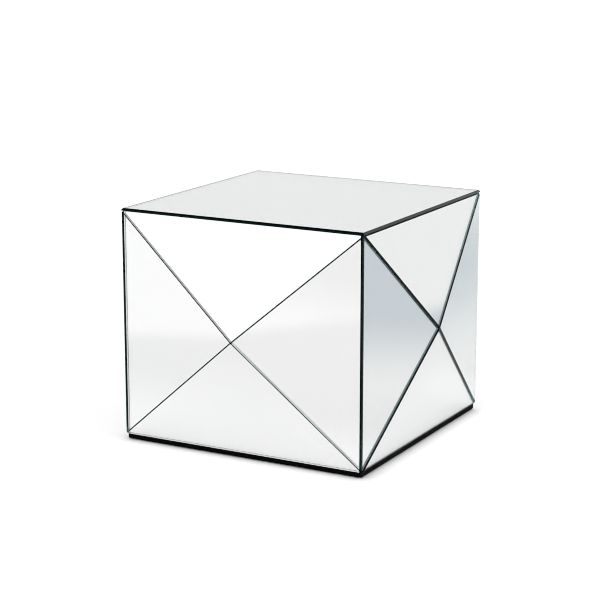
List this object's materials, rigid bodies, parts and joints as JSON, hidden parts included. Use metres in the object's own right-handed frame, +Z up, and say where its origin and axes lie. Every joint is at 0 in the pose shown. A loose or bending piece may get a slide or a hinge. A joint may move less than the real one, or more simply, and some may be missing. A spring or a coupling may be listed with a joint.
{
  "type": "mirrored cube table",
  "caption": "Mirror-clad cube table: every side is a shallow pyramid of triangular mirror panes over a boxed core, under a flat mirror top, on a black base with low glides.",
  "frame": {"origin": "middle of the footprint on the floor, under the glides", "axes": "+Z up, the front face looks along -Y and the right face along +X"},
  "size_m": [0.5638, 0.5638, 0.444],
  "materials": {
    "mirror": "back-silvered clear float glass with a faint green body and polished arrises",
    "board": "raw fibreboard, sanded",
    "backer_board": "fibreboard painted flat black, so that the seams read dark",
    "rib_board": "raw fibreboard, sawn",
    "black_base": "fibreboard painted satin black",
    "dowel_wood": "beech dowel",
    "adhesive": "cured neutral mirror adhesive",
    "screw_steel": "zinc plated",
    "black_screw": "black phosphate",
    "glide": "moulded black nylon"
  },
  "bodies": {
    "root": {"top_mirror": "mirror", "top_board": "board", "base_board": "black_base", "mirror_dabs": "adhesive", "corner_dowels": "dowel_wood", "top_screws": "screw_steel", "base_screws": "black_screw", "glide_screws": "screw_steel", "glide_front_left": "glide", "glide_front_right": "glide", "glide_back_right": "glide", "glide_back_left": "glide", "front_panel": "board", "front_rib_rising": "rib_board", "front_rib_falling": "rib_board", "right_panel": "board", "right_rib_rising": "rib_board", "right_rib_falling": "rib_board", "back_panel": "board", "back_rib_rising": "rib_board", "back_rib_falling": "rib_board", "left_panel": "board", "left_rib_rising": "rib_board", "left_rib_falling": "rib_board", "front_pane_top": "mirror", "front_backer_top": "backer_board", "front_pane_left": "mirror", "front_backer_left": "backer_board", "front_pane_bottom": "mirror", "front_backer_bottom": "backer_board", "front_pane_right": "mirror", "front_backer_right": "backer_board", "right_pane_top": "mirror", "right_backer_top": "backer_board", "right_pane_left": "mirror", "right_backer_left": "backer_board", "right_pane_bottom": "mirror", "right_backer_bottom": "backer_board", "right_pane_right": "mirror", "right_backer_right": "backer_board", "back_pane_top": "mirror", "back_backer_top": "backer_board", "back_pane_left": "mirror", "back_backer_left": "backer_board", "back_pane_bottom": "mirror", "back_backer_bottom": "backer_board", "back_pane_right": "mirror", "back_backer_right": "backer_board", "left_pane_top": "mirror", "left_backer_top": "backer_board", "left_pane_left": "mirror", "left_backer_left": "backer_board", "left_pane_bottom": "mirror", "left_backer_bottom": "backer_board", "left_pane_right": "mirror", "left_backer_right": "backer_board"}
  },
  "joints": []
}
